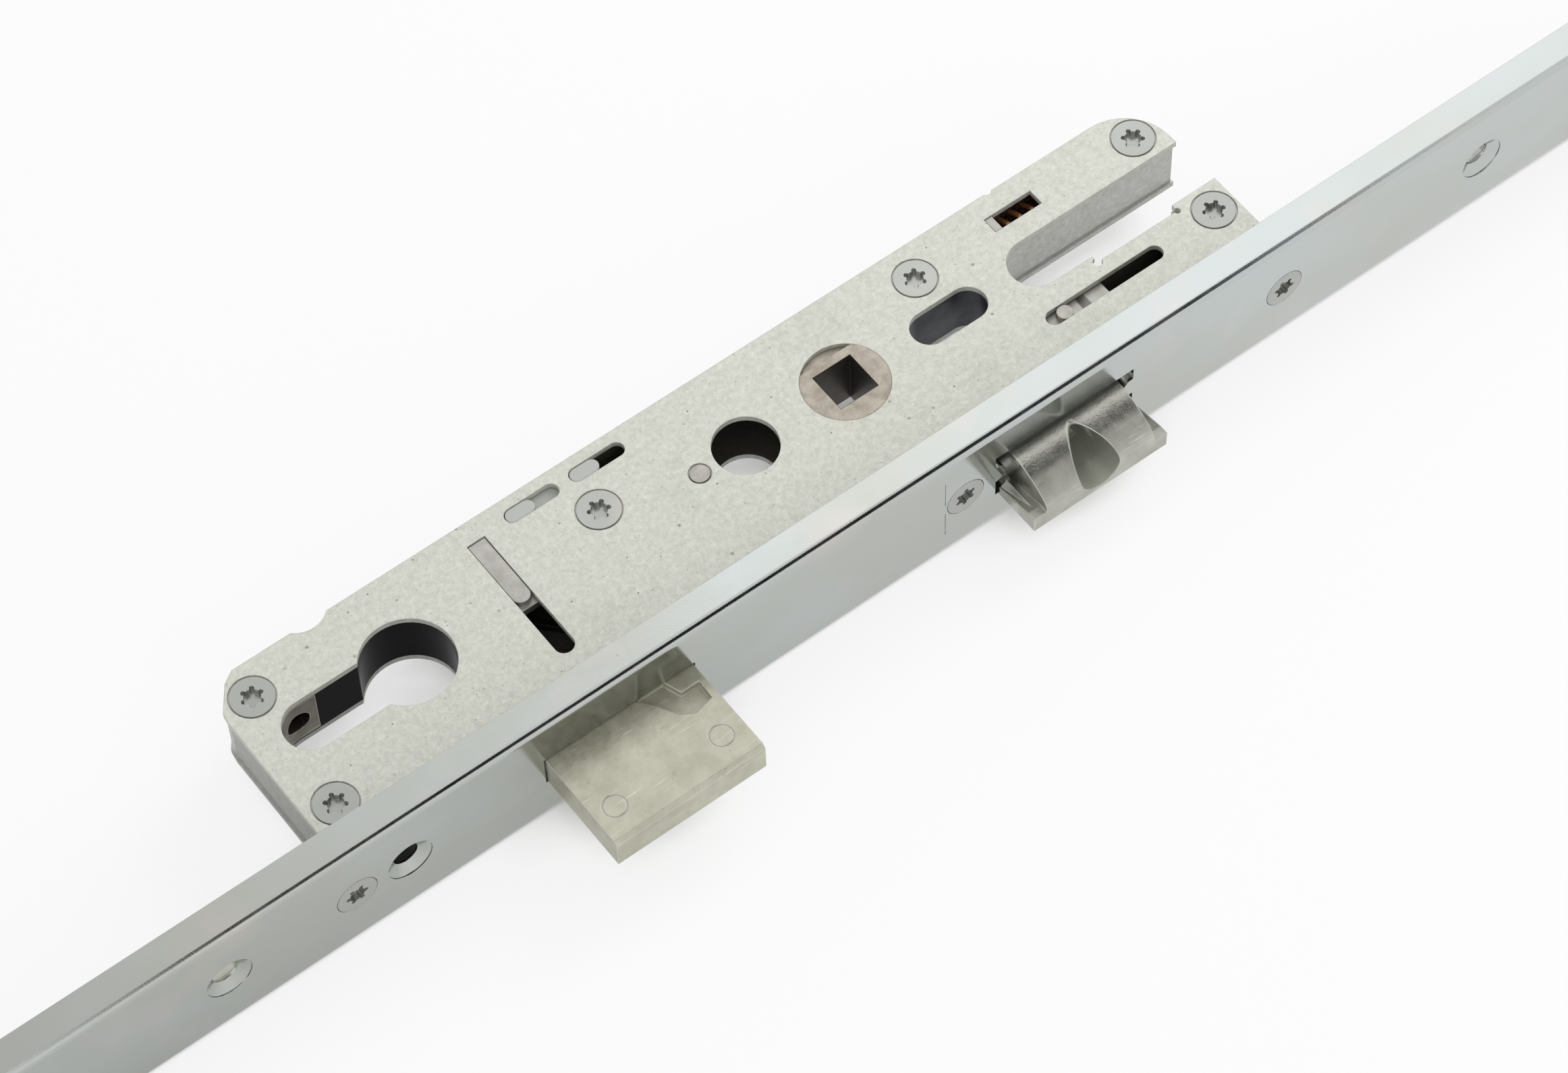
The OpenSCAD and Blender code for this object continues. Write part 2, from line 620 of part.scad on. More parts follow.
// Bar that the follower's second lobe draws down, with the rod through the return spring
module draw_bar() color("silver") {
    slab(far_low, far_top) difference() {
        translate([-2.6, 8.4]) square([notch_x + 0.8, back_inside - 8.4 - 0.2]);
        band(case_screw_at[3], case_screw_at[3] + [latch_out, 0], pillar_r + 0.25);
        translate([case_screw_at[3][0] - pillar_r - 0.25, 0]) square([2 * pillar_r + 0.5 + latch_out, 9.9]);
    }
    slab(far_low, -1) translate([-2.6, 8.4]) square([2.5, foot_w - 0.6]);
    slab(mid_low, -1) translate([-2.6, lobe_base - 0.3]) square([2.5, foot_w]);
    slab(far_low, rod_half) translate([notch_x - 4.2, spring_y - rod_half]) square([2.4, 2 * rod_half]);
    slab(-rod_half, rod_half) translate([notch_x - 4.2, spring_y - rod_half])
        square([spring_head_x + 1.5 - notch_x + 4.2, 2 * rod_half]);
    translate([spring_head_x, spring_y, 0]) rotate([0, 90, 0]) cylinder(h = 1.8, r = 4);
}

module return_spring() color("saddlebrown")
    translate([spring_stop_x + spring_stop_t + 0.1, spring_y, 0]) rotate([0, 90, 0])
        coil(return_coil_r, return_wire, spring_head_x - spring_stop_x - spring_stop_t - 0.2, return_curls);

// Fixed tab that the return spring pushes against; its top shows in the window
module spring_stop() color("gainsboro") difference() {
    union() {
        translate([spring_stop_x, 6.7, -inner]) cube([spring_stop_t, back_inside - 6.7, 2 * inner]);
        translate([spring_stop_x, window[1] + 0.1, 0]) cube([spring_stop_t, window[3] - 0.2, half_t - 0.2]);
    }
    translate([spring_stop_x - 1, spring_y - rod_half - 0.2, -rod_half - 0.2])
        cube([4, 2 * rod_half + 0.4, 2 * rod_half + 0.4]);
}

// Slide that the key's cam pushes, with the lug in the cross slot and a hook over the lever
module key_slide() color("silver") {
    slab(near_low, near_top) {
        translate([-77, -3]) square([12.8, back_inside - 0.2 + 3]);
        translate([-81.8, -4]) square([5, 3]);
        translate([-65, -0.65]) square([8.8, 2.2]);
    }
    slab(near_top, half_t - 0.2) {
        translate([cross_x - 1.7, 0]) square([3.4, cross_top - 0.15]);
        translate([cross_x - 1.7, -0.6]) square([3.4, 0.7]);
        translate([cross_x, -0.6]) circle(1.7);
    }
}

module locking_lever() color("gray") slab(near_low, near_top) difference() {
    union() {
        translate(lever_pivot) circle(3.4);
        band(lever_pivot, lever_tip, lever_w / 2);
        band(lever_pivot, lever_pivot - [0, 11], lever_w / 2);
    }
    translate(lever_pivot) circle(lever_pin_r + pin_gap);
}

module lever_pivot_pin() color("rosybrown") translate([lever_pivot[0], lever_pivot[1], -half_t])
    cylinder(h = case_t, r = lever_pin_r);

// White nylon slider with two lugs in the two short slots
module nylon_slider() color("white") {
    slab(near_low, near_top) translate([-63, nylon_y - 2.2]) square([19.2, 4]);
    slab(near_top, half_t - 0.2) {
        for (s = nylon_slots) band([s[0] + 0.1, nylon_y], [s[0] + 3, nylon_y], nylon_slot_r - 0.1);
    }
}

face_rail();
case_tray();
case_cover();
case_pillars();
case_screws();
rail_screws();
rail_lugs();
keyhole_lining();
cylinder_screw_boss();
fixing_slot_lining();
spindle_follower();
drive_slide();
slide_block();
slide_pin();
upper_drive_rod();
lower_drive_rod();
deadbolt();
deadbolt_pin();
latch_bolt();
latch_screw();
latch_carriage();
latch_spring();
draw_bar();
return_spring();
spring_stop();
key_slide();
locking_lever();
lever_pivot_pin();
nylon_slider();
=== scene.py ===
# %% [markdown]
# # The looks of a multipoint door lock
# The lock is sheet steel, die-cast zinc and zinc-plated strip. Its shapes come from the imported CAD
# frame and stay as they are. This notebook gives each piece the finish of its real metal, adds the
# small marks that making and handling leave, and sets the light and the camera of the photograph.

# %% Load the frame
import math

import bpy
from mathutils import Matrix, Vector


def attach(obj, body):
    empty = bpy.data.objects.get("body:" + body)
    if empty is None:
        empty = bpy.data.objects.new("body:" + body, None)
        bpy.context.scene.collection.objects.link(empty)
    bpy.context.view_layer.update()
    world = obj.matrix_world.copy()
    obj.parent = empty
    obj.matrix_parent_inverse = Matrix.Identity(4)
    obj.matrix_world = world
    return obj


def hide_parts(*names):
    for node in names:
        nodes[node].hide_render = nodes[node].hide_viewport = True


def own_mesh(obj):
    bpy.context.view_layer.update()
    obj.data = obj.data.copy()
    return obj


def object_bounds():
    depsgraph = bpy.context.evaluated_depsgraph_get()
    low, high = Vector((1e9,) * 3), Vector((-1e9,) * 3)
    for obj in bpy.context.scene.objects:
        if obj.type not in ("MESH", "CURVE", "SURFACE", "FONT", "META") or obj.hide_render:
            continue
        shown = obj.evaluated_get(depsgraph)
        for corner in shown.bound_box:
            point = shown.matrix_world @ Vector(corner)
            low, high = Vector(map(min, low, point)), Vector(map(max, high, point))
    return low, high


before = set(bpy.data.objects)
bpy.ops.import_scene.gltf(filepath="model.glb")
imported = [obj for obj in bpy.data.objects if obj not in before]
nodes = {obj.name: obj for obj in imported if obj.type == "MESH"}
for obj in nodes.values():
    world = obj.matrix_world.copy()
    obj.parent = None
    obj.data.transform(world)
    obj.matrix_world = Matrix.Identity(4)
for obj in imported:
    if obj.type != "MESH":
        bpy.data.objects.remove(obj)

cad_box = [list(corner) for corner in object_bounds()]
MM = 0.001
print("nodes", len(nodes), "box in mm", [[round(c / MM, 1) for c in corner] for corner in cad_box])

# %% [markdown]
# ## The camera
# The camera was solved from the photograph: the outlines of the hub, the holes and the screw heads
# fix it to about a pixel. A long lens from under a metre away gives the slight narrowing of the far
# end of the rail.

# %% Camera
CAMERA_PLACE = Vector((-0.2908, -0.3929, 0.7240))
IMAGE_RIGHT = Vector((0.79764, -0.60275, -0.02157))
IMAGE_DOWN = Vector((-0.51770, -0.66586, -0.53723))
VIEW_LINE = Vector((0.30950, 0.43970, -0.84320))
FOCAL_LENGTH = 115.5  # mm, as Blender takes it
SENSOR_WIDTH = 36  # mm
NEAREST_SEEN = 0.01  # m

lens = bpy.data.cameras.new("photo_camera")
lens.lens = FOCAL_LENGTH
lens.sensor_width = SENSOR_WIDTH
lens.clip_start = NEAREST_SEEN
camera = bpy.data.objects.new("photo_camera", lens)
bpy.context.collection.objects.link(camera)
camera.matrix_world = Matrix.Translation(CAMERA_PLACE) @ Matrix((
    IMAGE_RIGHT, -IMAGE_DOWN, -VIEW_LINE)).transposed().to_4x4()
bpy.context.scene.camera = camera
bpy.context.scene.view_settings.view_transform = "Standard"
print("camera at", [round(c, 3) for c in camera.location])

# %% [markdown]
# ## A small kit for materials
# Every finish is a handful of nodes on Object coordinates, so a pattern stays at its real size in
# millimetres and rides with its piece. One function turns a hex colour into the linear numbers that
# the shader wants, and one adds a node with its settings and links. The rest name what a finish is
# made of: clouds, streaks, specks, rounded and masked edges, and places inside a box or a bore.

# %% Helpers
BEVEL_SAMPLES = 6
EDGE_LEAN = (0.995, 0.93)  # cosines of the lean at which an edge begins to show and is full
RIM = 0.05  # mm over which a mask of a place fades out


def srgb(hex_colour):
    """A colour written as #rrggbb, turned to linear light."""
    parts = [int(hex_colour[i:i + 2], 16) / 255 for i in (1, 3, 5)]
    linear = [c / 12.92 if c <= 0.04045 else ((c + 0.055) / 1.055) ** 2.4 for c in parts]
    return (*linear, 1.0)


def per_mm(size):
    """The Scale of a texture whose features are that many millimetres wide."""
    return 1 / (size * MM)


def fill(tree, node, **inputs):
    """Gives inputs a value or a link. A name has _ for a space, or n and the input's number."""
    for name, value in inputs.items():
        key = int(name[1:]) if name[0] == "n" and name[1:].isdigit() else name.replace("_", " ")
        if isinstance(value, bpy.types.NodeSocket):
            tree.links.new(value, node.inputs[key])
        else:
            node.inputs[key].default_value = value


def add(tree, kind, settings=None, **inputs):
    """Adds a node with its settings and inputs."""
    node = tree.nodes.new(kind)
    for name, value in (settings or {}).items():
        setattr(node, name, value)
    fill(tree, node, **inputs)
    return node


def new_finish(name):
    """An empty material with a Principled shader. Returns the material, its tree and the shader."""
    finish = bpy.data.materials.new(name)
    finish.use_nodes = True
    tree = finish.node_tree
    return finish, tree, tree.nodes["Principled BSDF"]


def on_piece(tree):
    """The point on the piece as Object coordinates, in metres."""
    return add(tree, "ShaderNodeTexCoord").outputs["Object"]


def along(tree, axis):
    """One of the point's Object coordinates, in metres."""
    return add(tree, "ShaderNodeSeparateXYZ", Vector=on_piece(tree)).outputs[axis]


def stretched(tree, x, y=1):
    """Object coordinates for streaks: a factor below 1 draws the pattern out along that axis."""
    return add(tree, "ShaderNodeMapping", Vector=on_piece(tree), Scale=(x, y, 1)).outputs["Vector"]


def noise(tree, size, detail, rough, vector=None):
    """Cloudy noise with patches that many millimetres wide."""
    return add(tree, "ShaderNodeTexNoise", Vector=vector or on_piece(tree), Scale=per_mm(size),
               Detail=detail, Roughness=rough).outputs["Fac"]


def ramp(tree, value, low, high, to_low=0.0, to_high=1.0):
    """Maps low..high of a value to to_low..to_high, held at both ends."""
    return add(tree, "ShaderNodeMapRange", {"clamp": True}, Value=value, From_Min=low,
               From_Max=high, To_Min=to_low, To_Max=to_high).outputs["Result"]


def times(tree, first, second):
    """The product of two values."""
    return add(tree, "ShaderNodeMath", {"operation": "MULTIPLY"}, n0=first, n1=second).outputs[0]


def plus(tree, first, second):
    """The sum of two shares, held at 1."""
    return add(tree, "ShaderNodeMath", {"operation": "ADD", "use_clamp": True}, n0=first,
               n1=second).outputs[0]


def blend(tree, amount, first, second):
    """Mixes two colours by an amount from 0 to 1."""
    return add(tree, "ShaderNodeMix", {"data_type": "RGBA"}, n0=amount, n6=first,
               n7=second).outputs[2]


def tint(tree, colour, mask, amount, tone):
    """Lays a hex tone over a colour by that amount, where the mask is 1."""
    return blend(tree, times(tree, mask, amount), colour, srgb(tone))


def specks(tree, spacing, radius):
    """Dots of that radius in mm, one to a cell of the spacing, about half of them left out."""
    cells = add(tree, "ShaderNodeTexVoronoi", {"feature": "F1"}, Vector=on_piece(tree),
                Scale=per_mm(spacing), Randomness=1.0)
    dot = ramp(tree, cells.outputs["Distance"], radius / spacing, 0.4 * radius / spacing)
    cell_draw = add(tree, "ShaderNodeSeparateColor", Color=cells.outputs["Color"]).outputs[0]
    return times(tree, dot, ramp(tree, cell_draw, 0.45, 0.5))


def rounded_edges(tree, radius, **bump):
    """Normals that turn over each edge as if it were rounded off by the radius in millimetres."""
    normal = add(tree, "ShaderNodeBevel", {"samples": BEVEL_SAMPLES},
                 Radius=radius * MM).outputs["Normal"]
    if bump:
        normal = add(tree, "ShaderNodeBump", Normal=normal, **bump).outputs["Normal"]
    return normal


def edge_mask(tree, radius):
    """1 on sharp edges, 0 on flat faces: how far the rounded normal leans from the flat one."""
    flat = add(tree, "ShaderNodeNewGeometry").outputs["True Normal"]
    same = add(tree, "ShaderNodeVectorMath", {"operation": "DOT_PRODUCT"},
               n0=rounded_edges(tree, radius), n1=flat).outputs["Value"]
    return ramp(tree, same, *EDGE_LEAN)


def inside_box(tree, low, high):
    """1 on faces between two corners given in millimetres, 0 on the others."""
    axes = add(tree, "ShaderNodeSeparateXYZ", Vector=on_piece(tree)).outputs
    mask = 1.0
    for axis, first, last in zip("XYZ", low, high):
        mask = times(tree, mask, ramp(tree, axes[axis], first * MM, (first + RIM) * MM))
        mask = times(tree, mask, ramp(tree, axes[axis], last * MM, (last - RIM) * MM))
    return mask


def inside_bore(tree, x, z, radius):
    """1 on faces within a radius of an axis along Y, all in millimetres, 0 on the others."""
    across = add(tree, "ShaderNodeVectorMath", {"operation": "MULTIPLY_ADD"}, n0=on_piece(tree),
                 n1=(1, 0, 1), n2=(-x * MM, 0, -z * MM)).outputs["Vector"]
    away = add(tree, "ShaderNodeVectorMath", {"operation": "LENGTH"}, n0=across).outputs["Value"]
    return ramp(tree, away, (radius + RIM) * MM, radius * MM)


# %% [markdown]
# ## Galvanised sheet of the case
# The case is pressed from zinc-coated steel. The coat is dull and pale, slightly warm, with soft
# spangle about a millimetre wide, finer grey grain and small brown specks where dirt sits in the
# pores. Rolling leaves short streaks along the sheet, and handling leaves grey smudges. A
# half-metallic shader at medium roughness gives the chalky sheen. The real grain is finer than the
# picture can show, so it is drawn at half a millimetre. Between the plates the tray is painted dark
# brown, partly grease, partly painted shade, and its end wall is painted a little darker, as painted
# shade.

# %% Galvanised sheet
GREY_GRAIN = "#a9aaa0"
ROLLING_STREAK = "#9d9c8f"
BROWN_FLECK = "#857d6b"
GREY_SMUDGE = "#8c8a7f"
GREASE_AND_SHADE = "#3f3a2f"
BROWN_SPECKS = (  # spacing and radius in mm, tone, strength
    (2.4, 0.24, "#6f6350", 0.85),
    (4.9, 0.42, "#857c69", 0.75),
    (1.3, 0.15, "#7d7666", 0.70),
)
GREASED_AND_SHADED_PLACES = (  # two corners in mm, amount of grease and painted shade
    ((-113, -21.65, -5.35), (-94, 14.0, 5.35), 0.85),
    ((-94, -21.65, -5.35), (34, 15.15, 5.35), 0.85),
    ((34, -21.65, -5.35), (76, -8.55, 5.35), 0.85),
    # the end wall, painted darker than the other walls: painted shade only
    ((-123, -24, -6.6), (-121.8, 17, 6.6), 0.28),
)


def galvanised(name, pale, dark, brown, greased_shaded_places=()):
    """Zinc-coated sheet. brown is the strength of the dirt in its pores."""
    finish, tree, shader = new_finish(name)
    spangle = ramp(tree, noise(tree, 1.1, 6, 0.7), 0.38, 0.62)
    colour = blend(tree, spangle, srgb(dark), srgb(pale))
    grain = ramp(tree, noise(tree, 0.45, 3, 0.7), 0.40, 0.62)
    colour = tint(tree, colour, grain, 0.22, GREY_GRAIN)
    streak = ramp(tree, noise(tree, 1.1, 4, 0.6, stretched(tree, 0.35, 1.6)), 0.60, 0.74)
    colour = tint(tree, colour, streak, 0.15, ROLLING_STREAK)
    for spacing, radius, tone, strength in BROWN_SPECKS:
        colour = tint(tree, colour, specks(tree, spacing, radius), strength * brown, tone)
    fleck = ramp(tree, noise(tree, 0.42, 4, 0.75, stretched(tree, 0.6)), 0.63, 0.70)
    colour = tint(tree, colour, fleck, 0.38 * brown, BROWN_FLECK)
    smudge = ramp(tree, noise(tree, 14, 6, 0.65), 0.56, 0.72)
    colour = tint(tree, colour, smudge, 0.12, GREY_SMUDGE)
    # grease and painted shade darken the tray between the plates; on the end wall it is painted
    # shade only
    for low, high, amount in greased_shaded_places:
        colour = tint(tree, colour, inside_box(tree, low, high), amount, GREASE_AND_SHADE)
    fill(tree, shader, Base_Color=colour, Metallic=0.45,
         Roughness=ramp(tree, noise(tree, 2.0, 4, 0.6), 0.3, 0.7, 0.40, 0.56),
         Normal=rounded_edges(tree, 0.25, Strength=0.25, Distance=0.06 * MM,
                              Height=noise(tree, 0.5, 4, 0.7)))
    return finish


case_sheet = galvanised("galvanised_sheet", "#d9d9d0", "#c9cac1", brown=1.0)
wall_sheet = galvanised("galvanised_wall", "#d4d4d0", "#c2c2be", brown=0.7, greased_shaded_places=GREASED_AND_SHADED_PLACES)
print("galvanised sheet for the cover and the tray")

# %% [markdown]
# ## Bright zinc of the rail
# The rail is rolled strip with a bright, blue-passivated zinc plate. It mirrors its surroundings
# softly: the front face shows the paper, the bend shows a thin dark line. Passivation leaves broad,
# barely coloured patches, and handling leaves hairline marks and a few dots. The flange is painted
# darker towards its lower end, as painted shade. The plate's fine pebble is coarser here than the
# real one, which the picture couldn't show. The rods and the screws have the same plate, rougher,
# and the screw in the latch's bore is paler.

# %% Bright zinc strip
WARM_PATCH = "#d0c6c3"
HAIRLINE = "#9aa0a2"
ZINC_DOT = "#7c7f7c"
FLANGE_SHADE_TONE = "#87867a"
SHADED_FLANGE = ((-210, -27.2, 13.4), (0, -21, 13.6))  # two corners in mm of the painted shade on the flange
FLANGE_SHADE_FROM, FLANGE_SHADE_FULL = -100, -190  # mm along the rail, where the painted shade begins and where it is full


def bright_zinc(name, tone, cool, rough, marks=1.0, metallic=1.0, flange_shade_box=None):
    """Zinc plate. rough is its range of roughness, marks the strength of hairlines and dots."""
    finish, tree, shader = new_finish(name)
    cloud = noise(tree, 26, 3, 0.5, stretched(tree, 0.5))
    colour = blend(tree, ramp(tree, cloud, 0.42, 0.64), srgb(tone), srgb(cool))
    warm = ramp(tree, noise(tree, 17, 2, 0.5), 0.58, 0.74)
    colour = tint(tree, colour, warm, 0.35, WARM_PATCH)
    hair = ramp(tree, noise(tree, 0.5, 3, 0.6, stretched(tree, 0.06)), 0.64, 0.78)
    colour = tint(tree, colour, hair, 0.14 * marks, HAIRLINE)
    colour = tint(tree, colour, specks(tree, 6.5, 0.22), 0.5 * marks, ZINC_DOT)
    # painted shade: the flange darker towards the rail's lower end
    if flange_shade_box:
        towards_end = ramp(tree, along(tree, "X"), FLANGE_SHADE_FROM * MM, FLANGE_SHADE_FULL * MM)
        flange_shade = times(tree, inside_box(tree, *flange_shade_box), towards_end)
        colour = tint(tree, colour, flange_shade, 0.45, FLANGE_SHADE_TONE)
    pebble = rounded_edges(tree, 0.15, Strength=0.22, Distance=0.03 * MM,
                           Height=noise(tree, 0.26, 2, 0.6))
    waves = noise(tree, 9, 2, 0.5, stretched(tree, 0.25))
    wavy = add(tree, "ShaderNodeBump", Strength=0.12, Distance=0.3 * MM, Height=waves,
               Normal=pebble).outputs["Normal"]
    fill(tree, shader, Base_Color=colour, Metallic=metallic,
         Roughness=ramp(tree, noise(tree, 6, 4, 0.6), 0.3, 0.7, *rough), Normal=wavy)
    return finish


rail_zinc = bright_zinc("bright_zinc_strip", "#babdb7", "#bdc3c2", (0.12, 0.18), flange_shade_box=SHADED_FLANGE)
rod_zinc = bright_zinc("bright_zinc_rod", "#bbbbb1", "#bdc3c2", (0.26, 0.38))
screw_zinc = bright_zinc("bright_zinc_screw", "#b0b1ac", "#a8aaa6", (0.20, 0.30), 0.6, 0.7)
bore_screw_zinc = bright_zinc("pale_zinc_screw", "#dfe3e2", "#d3dbdc", (0.30, 0.40), 0.6, 0.3)
print("bright zinc for the rail, rods and screws")

# %% [markdown]
# ## Die-cast zinc of the latch and the deadbolt
# Both bolts are die castings with a passivated skin: satin, greyish with a hint of olive, finely
# pebbled where the die was etched. The real pebble is a tenth of a millimetre or so, too fine to
# show, and is drawn about half a millimetre wide. A mask of the edges lightens them: partly wear
# where they rub in the keep, partly a painted highlight along every edge. The latch's ramp gets
# rougher towards its tip, and the wall of its bore is a bare, pale casting.

# %% Die-cast zinc
CAST_SCRATCH = "#e6e5d9"
CAST_GRIME = "#8b8878"
CAST_SPECK = "#77725f"
RUBBED_EDGE_AND_HIGHLIGHT = "#dededa"
BORE_WALL = "#a9ab9f"
BORE_METALLIC = 0.45
LATCH_BORE = (26.05, 0, 4.3)  # x and z of its axis and its radius with some room, in mm
TIP_FROM, TIP_FULL = -33.0, -34.4  # mm out of the rail, where the ramp begins to dull and is dull


def die_cast(name, tone, shade, grain, depth, rough, dull_tip=0.0, metallic=0.9, bore=None):
    """A die casting. grain and depth are its pebble in mm, rough its range of roughness."""
    finish, tree, shader = new_finish(name)
    cloud = ramp(tree, noise(tree, 5, 5, 0.6), 0.36, 0.66)
    colour = blend(tree, cloud, srgb(shade), srgb(tone))
    scratch = ramp(tree, noise(tree, 0.8, 4, 0.6, stretched(tree, 0.12, 1.5)), 0.60, 0.72)
    colour = tint(tree, colour, scratch, 0.45, CAST_SCRATCH)
    grime = ramp(tree, noise(tree, 2.6, 6, 0.7), 0.58, 0.70)
    colour = tint(tree, colour, grime, 0.35, CAST_GRIME)
    colour = tint(tree, colour, specks(tree, 3.6, 0.2), 0.6, CAST_SPECK)
    # edge wear and a painted highlight: every sharp edge is lightened
    colour = tint(tree, colour, edge_mask(tree, 0.3), 0.8, RUBBED_EDGE_AND_HIGHLIGHT)
    if bore:
        wall = inside_bore(tree, *bore)
        colour = blend(tree, wall, colour, srgb(BORE_WALL))
        metallic = ramp(tree, wall, 0, 1, metallic, BORE_METALLIC)
    skin = ramp(tree, noise(tree, 1.5, 4, 0.6), 0.3, 0.7, *rough)
    tip = ramp(tree, along(tree, "Y"), TIP_FROM * MM, TIP_FULL * MM, 0.0, dull_tip)
    fill(tree, shader, Base_Color=colour, Metallic=metallic, Roughness=plus(tree, skin, tip),
         Normal=rounded_edges(tree, 0.35, Strength=0.35, Distance=depth * MM,
                              Height=noise(tree, grain, 4, 0.6)))
    return finish


latch_cast = die_cast("die_cast_latch", "#c0bfb7", "#aeada5", 0.45, 0.09, (0.16, 0.26),
                      dull_tip=0.25, bore=LATCH_BORE)
bolt_cast = die_cast("die_cast_bolt", "#c3c1b0", "#b2b09e", 0.8, 0.09, (0.27, 0.42), metallic=0.6)
boss_cast = die_cast("die_cast_boss", "#8d877e", "#7b756d", 1.0, 0.05, (0.30, 0.46))
print("die-cast zinc for the bolts and the boss")

# %% [markdown]
# ## Inside steel, sintered steel, lining and nylon
# The follower is sintered: pressed steel powder, taupe, with an even fine grain, and its square
# hole is painted dark, partly grease, partly painted shade. Slides and levers are blanked steel;
# those deep in the closed case are oiled and painted darker, partly oil, partly painted shade. The
# keyhole's lining is black and smooth, and the slider is white nylon, which lets a little light in.
# The real grain of all these is a tenth of a millimetre or less, too fine to show, so it is drawn
# three or more times as wide.

# %% Other finishes
SQUARE_HOLE = ((-4.15, -4.15, -7), (4.15, 4.15, 7))  # two corners in mm
HOLE_GREASE_AND_SHADE = "#2e2721"


def plain_metal(name, tone, shade, metallic, rough, patch, grain, edge=0.2, greased_and_shaded=None):
    """Steel with cloudy patches and fine grain. patch, grain and its edges' radius are in mm."""
    finish, tree, shader = new_finish(name)
    cloud = ramp(tree, noise(tree, patch, 4, 0.6), 0.35, 0.65)
    colour = blend(tree, cloud, srgb(shade), srgb(tone))
    fine = ramp(tree, noise(tree, grain, 3, 0.7), 0.45, 0.62)
    colour = tint(tree, colour, fine, 0.3, shade)
    if greased_and_shaded:
        # grease and painted shade darken the square hole
        colour = tint(tree, colour, inside_box(tree, *greased_and_shaded), 0.9, HOLE_GREASE_AND_SHADE)
    fill(tree, shader, Base_Color=colour, Metallic=metallic, Roughness=rough,
         Normal=rounded_edges(tree, edge, Strength=0.2, Distance=0.04 * MM,
                              Height=noise(tree, grain, 3, 0.7)))
    return finish


def white_nylon():
    """Moulded nylon, in which light goes a millimetre deep."""
    finish, tree, shader = new_finish("white_nylon")
    fill(tree, shader, Base_Color=srgb("#b6b8b4"), Roughness=0.42, IOR=1.53,
         Subsurface_Weight=0.15, Subsurface_Radius=(MM, MM, MM), Normal=rounded_edges(tree, 0.2))
    return finish


sintered = plain_metal("sintered_steel", "#b8b0a3", "#9a9286", 0.75, 0.42, 2.0, 0.35, 0.15,
                       SQUARE_HOLE)
turned_pin = plain_metal("turned_pin_steel", "#b6b2ab", "#a09c95", 0.9, 0.32, 1.5, 0.4, 0.25)
slide_steel = plain_metal("slide_steel", "#bbb9b4", "#a7a49e", 0.8, 0.40, 3.0, 0.5)
# the pieces deep in the case: oiled steel painted darker, partly oil, partly painted shade
oiled_shaded_steel = plain_metal("oiled_and_shaded_steel", "#6f6b62", "#4b4842", 0.85, 0.38, 5.0, 0.8)
dark_steel = plain_metal("dark_steel", "#4a4c4e", "#34363a", 0.7, 0.42, 4.0, 0.8)
spring_brown = plain_metal("brown_spring_wire", "#b9804e", "#6b4328", 0.6, 0.35, 2.0, 0.6, 0.1)
black_lining = plain_metal("black_lining", "#0d0e11", "#060708", 0.0, 0.22, 6.0, 1.5, 0.1)
lining_tree = black_lining.node_tree
fill(lining_tree, lining_tree.nodes["Principled BSDF"], Specular_IOR_Level=0.05)  # barely shines
nylon = white_nylon()
print("finishes:", len(bpy.data.materials))

# %% [markdown]
# ## Which piece has which finish
# The CAD nodes keep their meshes. Each gets one finish in its material slots, and smooth shading
# below 35 degrees, so that bores and bends look round and cut edges stay crisp.

# %% Put the finishes on
SMOOTH_BELOW = math.radians(35)
FINISH_OF = {
    "face_rail": rail_zinc, "case_tray": wall_sheet, "case_cover": case_sheet,
    "case_pillars": oiled_shaded_steel, "case_screws": screw_zinc, "rail_screws": screw_zinc,
    "rail_lugs": oiled_shaded_steel, "keyhole_lining": black_lining, "cylinder_screw_boss": boss_cast,
    "fixing_slot_lining": dark_steel, "spindle_follower": sintered, "drive_slide": oiled_shaded_steel,
    "slide_block": slide_steel, "slide_pin": turned_pin, "upper_drive_rod": rod_zinc,
    "lower_drive_rod": rod_zinc, "deadbolt": bolt_cast, "deadbolt_pin": turned_pin,
    "latch_bolt": latch_cast, "latch_screw": bore_screw_zinc, "latch_carriage": oiled_shaded_steel,
    "latch_spring": oiled_shaded_steel, "draw_bar": oiled_shaded_steel, "return_spring": spring_brown,
    "spring_stop": slide_steel, "key_slide": slide_steel, "locking_lever": oiled_shaded_steel,
    "lever_pivot_pin": turned_pin, "nylon_slider": nylon,
}

bpy.ops.object.select_all(action="DESELECT")
for name, finish in FINISH_OF.items():
    piece = nodes[name]
    piece.data.materials.clear()
    piece.data.materials.append(finish)
    piece.select_set(True)
    bpy.context.view_layer.objects.active = piece
    bpy.ops.object.shade_smooth_by_angle(angle=SMOOTH_BELOW)
    piece.select_set(False)
print("pieces with a finish:", len(FINISH_OF), "without:", sorted(set(nodes) - set(FINISH_OF)))

# %% [markdown]
# ## The two springs
# One end of a spring stays in its seat and the other end moves. Here the wound wire is copied as it
# is, the copy rides on the case at its length at rest, and the original is hidden.

# %% Copies of the springs
def pressed_spring(node):
    """A copy of the spring's wire that rides on the case, with the original hidden."""
    original = bpy.data.objects[node]
    spring = original.copy()
    spring.data = original.data.copy()
    spring.name = node + "_wire"
    bpy.context.collection.objects.link(spring)
    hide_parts(node)
    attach(spring, "case")
    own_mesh(spring)


pressed_spring("return_spring")
pressed_spring("latch_spring")

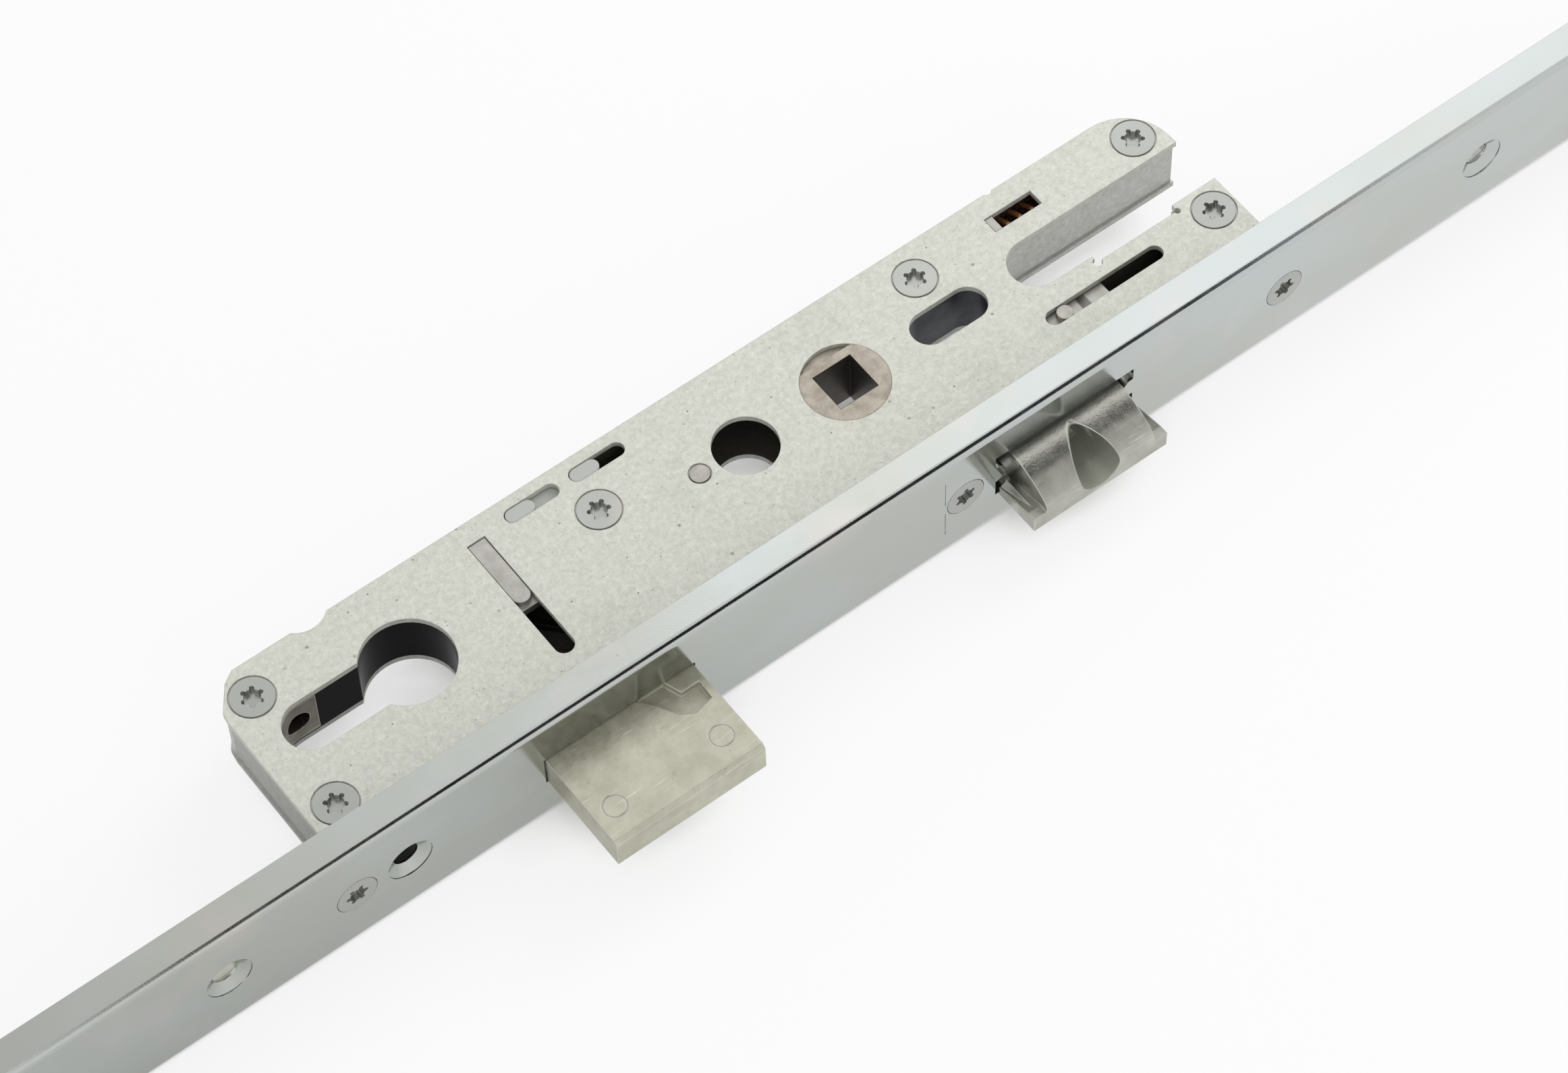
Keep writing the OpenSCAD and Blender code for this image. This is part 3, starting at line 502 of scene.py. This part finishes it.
# %% [markdown]
# ## Floor, light and surroundings
# The lock lies on white paper under soft studio light. Metal shows what stands around it, so the
# surroundings matter as much as the lamps. The room is pale everywhere. Two dark cards, which only
# reflections see, put the thin dark line along the rail's bend and the dark bands on the latch.
# The paper glows white where the camera sees it, with a fifth of its own light and shadow. Deep
# under the case, where little of the room is open to it, it keeps all of its shade. In mirrors it
# is darker towards the rail's lower end, as in the photograph.

# %% Floor
PAPER = (0.86, 0.86, 0.86, 1)
WHITE = (1, 1, 1, 1)
PAPER_SIZE = 8  # m
PAPER_GAP = 0.2 * MM
SEEN_SHARE = 0.8
SHADE_REACH = 20 * MM
SHADE_OPENNESS = (0.20, 0.42)  # all shade below the first, none above the second
MIRRORED_X = (-0.19, 0.08)  # metres along the rail
MIRRORED_SHARE = (0.13, 0.89)


def white_paper():
    """Paper that mixes its own shade with a white glow, by the kind of ray that meets it."""
    paper, tree, shader = new_finish("white_paper")
    tree.nodes.remove(shader)
    matte = add(tree, "ShaderNodeBsdfDiffuse", Color=PAPER)
    glow = add(tree, "ShaderNodeEmission", Color=WHITE, Strength=1.0)
    path = add(tree, "ShaderNodeLightPath").outputs
    mirrored = times(tree, path["Is Glossy Ray"],
                     ramp(tree, along(tree, "X"), *MIRRORED_X, *MIRRORED_SHARE))
    openness = add(tree, "ShaderNodeAmbientOcclusion", {"samples": 8},
                   Distance=SHADE_REACH).outputs["AO"]
    seen = times(tree, plus(tree, path["Is Camera Ray"], path["Is Transmission Ray"]),
                 ramp(tree, openness, *SHADE_OPENNESS, 0.0, SEEN_SHARE))
    both = add(tree, "ShaderNodeMixShader", n0=plus(tree, seen, mirrored), n1=matte.outputs[0],
               n2=glow.outputs[0])
    fill(tree, tree.nodes["Material Output"], Surface=both.outputs[0])
    return paper


floor_height = cad_box[0][2] - PAPER_GAP
bpy.ops.mesh.primitive_plane_add(size=PAPER_SIZE, location=(0, 0, floor_height))
floor = bpy.context.object
floor.name = "paper_floor"
floor.data.materials.append(white_paper())
print("floor at", round(floor_height / MM, 1), "mm")

# %% World and lamps
ROOM_COLOUR = (0.99, 1.0, 0.985, 1)
ROOM_LIGHT = 0.80
CARD_COLOUR = (0.01, 0.01, 0.012, 1)


def surroundings():
    """A pale room as the light on the object, plain white where it is seen or mirrored."""
    world = bpy.data.worlds.new("studio_room")
    bpy.context.scene.world = world
    world.use_nodes = True
    tree = world.node_tree
    tree.nodes.clear()
    path = add(tree, "ShaderNodeLightPath").outputs
    mirrored = plus(tree, path["Is Glossy Ray"], path["Is Transmission Ray"])
    seen = plus(tree, path["Is Camera Ray"], mirrored)
    room = add(tree, "ShaderNodeBackground", Color=ROOM_COLOUR, Strength=ROOM_LIGHT)
    white = add(tree, "ShaderNodeBackground", Color=WHITE, Strength=1.0)
    both = add(tree, "ShaderNodeMixShader", n0=seen, n1=room.outputs[0], n2=white.outputs[0])
    add(tree, "ShaderNodeOutputWorld", Surface=both.outputs[0])


def soft_lamp(name, place, target, width, height, power, mirrored):
    """A softbox, sizes in metres and power in watts, that mirrors see or don't."""
    lamp = bpy.data.lights.new(name, "AREA")
    lamp.shape = "RECTANGLE"
    lamp.size, lamp.size_y, lamp.energy = width, height, power
    holder = bpy.data.objects.new(name, lamp)
    bpy.context.collection.objects.link(holder)
    holder.location = place
    aim = Vector(target) - Vector(place)
    holder.rotation_euler = aim.to_track_quat("-Z", "Y").to_euler()
    holder.visible_glossy = mirrored


def dark_card(name, centre, width, height, tilt):
    """A card that only reflections see, tilted about X by that many degrees."""
    bpy.ops.mesh.primitive_plane_add(size=1, location=centre, rotation=(math.radians(tilt), 0, 0))
    card = bpy.context.object
    card.name = name
    card.scale = (width, height, 1)
    finish, tree, shader = new_finish(name)
    fill(tree, shader, Base_Color=CARD_COLOUR, Roughness=1)
    card.data.materials.append(finish)
    card.visible_camera = card.visible_diffuse = card.visible_shadow = False


surroundings()
# Beyond the upper end, high up: it brightens the flange there.
soft_lamp("end_softbox", (0.62, 0.36, 0.70), (0.1, 0, 0), 0.9, 0.7, 0.95, mirrored=True)
# Beyond the upper end, lower: it gives the walls and the holes their shade.
soft_lamp("key_softbox", (0.50, 0.15, 0.45), (0, 0, 0), 0.3, 0.3, 1.0, mirrored=False)
# In front, low: it lifts the faces of the rail and the bolts.
soft_lamp("front_softbox", (0.05, -0.90, 0.40), (0, 0, 0), 0.6, 0.6, 1.8, mirrored=False)
# Above the rail's front: the dark line of the bend, and part of the latch's bands.
dark_card("bend_card", (0.215, -0.424, 0.711), 0.50, 0.634, 39)
# Above the upper end: the rest of the latch's dark bands.
dark_card("latch_card", (0.35, -0.238, 0.790), 0.24, 0.335, 10)
print("world, three lamps and two dark cards")
